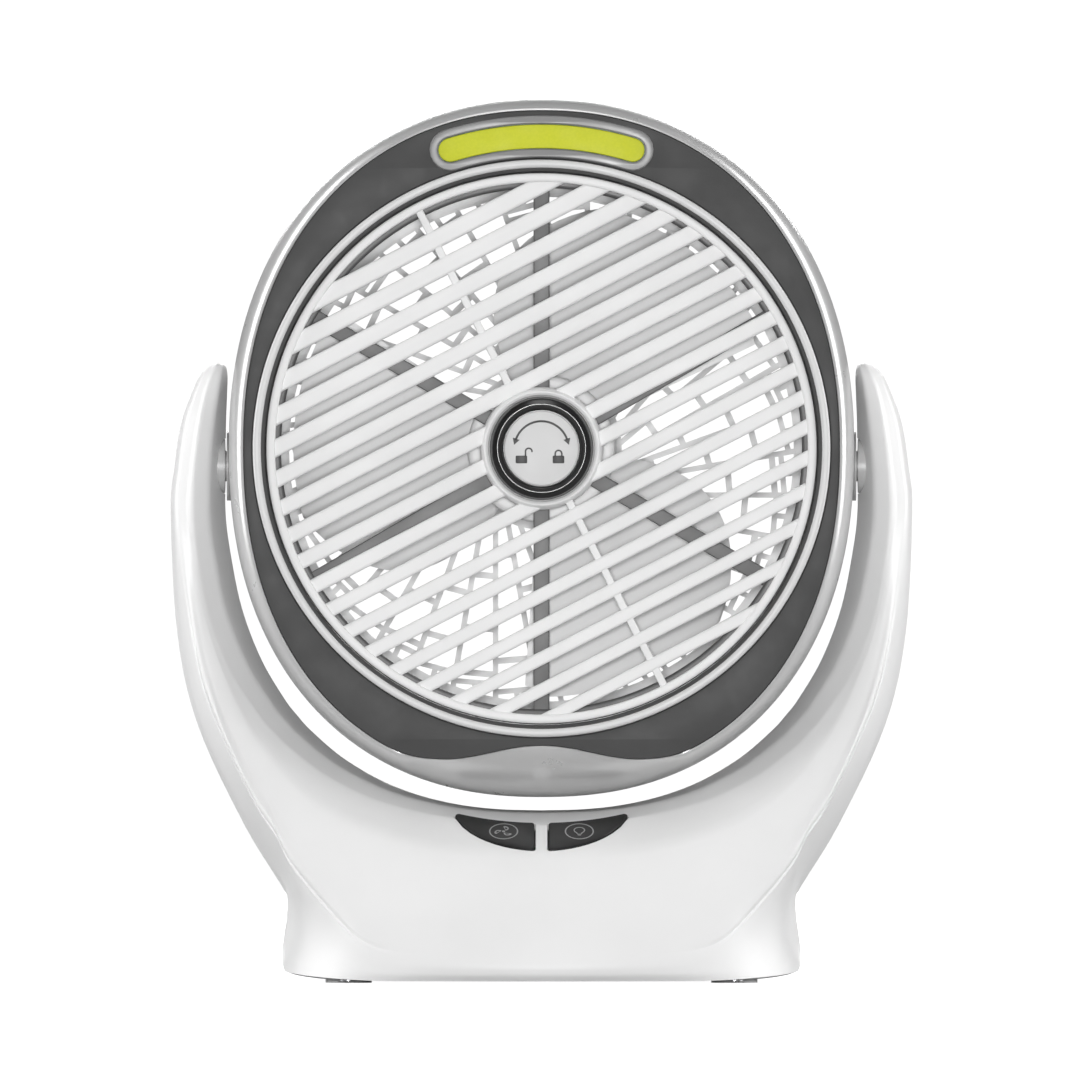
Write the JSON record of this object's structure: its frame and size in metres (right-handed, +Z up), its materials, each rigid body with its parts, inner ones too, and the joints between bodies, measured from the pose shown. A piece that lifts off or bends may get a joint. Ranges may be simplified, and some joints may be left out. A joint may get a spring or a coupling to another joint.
{
  "type": "desk fan",
  "caption": "Rechargeable desk fan: egg-shaped head with slatted guard and lamp strip, tilting in a U-shaped cradle stand with push buttons.",
  "frame": {"origin": "centre of the stand's footprint, on the surface it stands on", "axes": "+Z up, -Y towards the front grille, +X to the right seen from the front"},
  "size_m": [0.1934, 0.1, 0.23],
  "materials": {
    "stand_white": "smooth satin-gloss ABS",
    "head_white": "smooth high-gloss ABS",
    "grille_white": "smooth satin-gloss ABS",
    "mesh_grey": "smooth satin ABS",
    "blade_grey": "smooth satin translucent-looking plastic",
    "bezel_grey": "fine-textured satin plastic",
    "trim_grey": "silver-grey painted gloss",
    "guard_grey": "dark satin plastic",
    "lamp_rim_grey": "satin plastic",
    "lamp_yellow": "yellow-green silicone over the light strip",
    "gloss_black": "polished black plastic",
    "button_black": "satin black plastic with grey printed symbols",
    "knob_face_grey": "smooth light-grey disc with printed symbols",
    "grey_plastic": "moulded plastic",
    "black_plastic": "moulded plastic",
    "rubber_grey": "soft moulded rubber",
    "screw_steel": "zinc-plated steel",
    "motor_steel": "drawn steel",
    "bronze": "sintered bronze",
    "copper_winding": "enamelled copper winding",
    "cell_wrap": "shrink-wrapped cells",
    "circuit_board": "printed circuit board",
    "clear_lamp": "clear light pipe"
  },
  "bodies": {
    "base": {"base_front_shell": "stand_white", "base_rear_shell": "stand_white", "base_bottom_plate": "stand_white", "rubber_feet": "rubber_grey", "bottom_screws": "screw_steel", "shell_screws": "screw_steel", "battery_cells": "cell_wrap", "battery_holder": "black_plastic", "control_board": "circuit_board", "charge_socket": "screw_steel", "charge_lamp": "clear_lamp", "button_board": "circuit_board", "button_switches": "black_plastic", "pivot_bushes": "grey_plastic"},
    "head": {"head_shell": "head_white", "rear_grille": "mesh_grey", "front_bezel": "bezel_grey", "trim_ring": "trim_grey", "spoke_frame": "guard_grey", "front_grille": "grille_white", "lamp_surround": "lamp_rim_grey", "lamp_diffuser": "lamp_yellow", "lamp_board": "circuit_board", "head_screws": "screw_steel", "pivot_pins": "grey_plastic", "friction_washers": "screw_steel", "pivot_nuts": "screw_steel", "motor_can": "motor_steel", "motor_magnets": "black_plastic", "motor_end_cap": "grey_plastic", "motor_bearings": "bronze", "motor_screws": "screw_steel"},
    "impeller": {"impeller": "blade_grey", "impeller_bush": "bronze", "motor_shaft": "motor_steel", "motor_rotor": "copper_winding"},
    "lock_knob": {"lock_knob": "gloss_black", "knob_face": "knob_face_grey", "knob_stem": "black_plastic", "knob_clip": "screw_steel"},
    "fan_button": {"fan_button": "button_black"},
    "light_button": {"light_button": "button_black"}
  },
  "joints": [
    {"name": "head_tilt", "type": "hinge", "parent": "base", "child": "head", "pos_m": [0, 0, 0.134], "axis": [-1, 0, 0], "range_deg": [-30, 90]},
    {"name": "impeller_spin", "type": "hinge", "parent": "head", "child": "impeller", "pos_m": [0, 0, 0.1385], "axis": [0, -1, 0], "continuous": true},
    {"name": "knob_turn", "type": "hinge", "parent": "head", "child": "lock_knob", "pos_m": [0, -0.025, 0.1385], "axis": [0, -1, 0], "range_deg": [0, 90]},
    {"name": "fan_button_press", "type": "slide", "parent": "base", "child": "fan_button", "axis": [0, 0.5299, -0.848], "range_m": [0, 0.0012], "stiffness_N_per_m": 400, "springref_m": -0.001},
    {"name": "light_button_press", "type": "slide", "parent": "base", "child": "light_button", "axis": [0, 0.5299, -0.848], "range_m": [0, 0.0012], "stiffness_N_per_m": 400, "springref_m": -0.001}
  ]
}
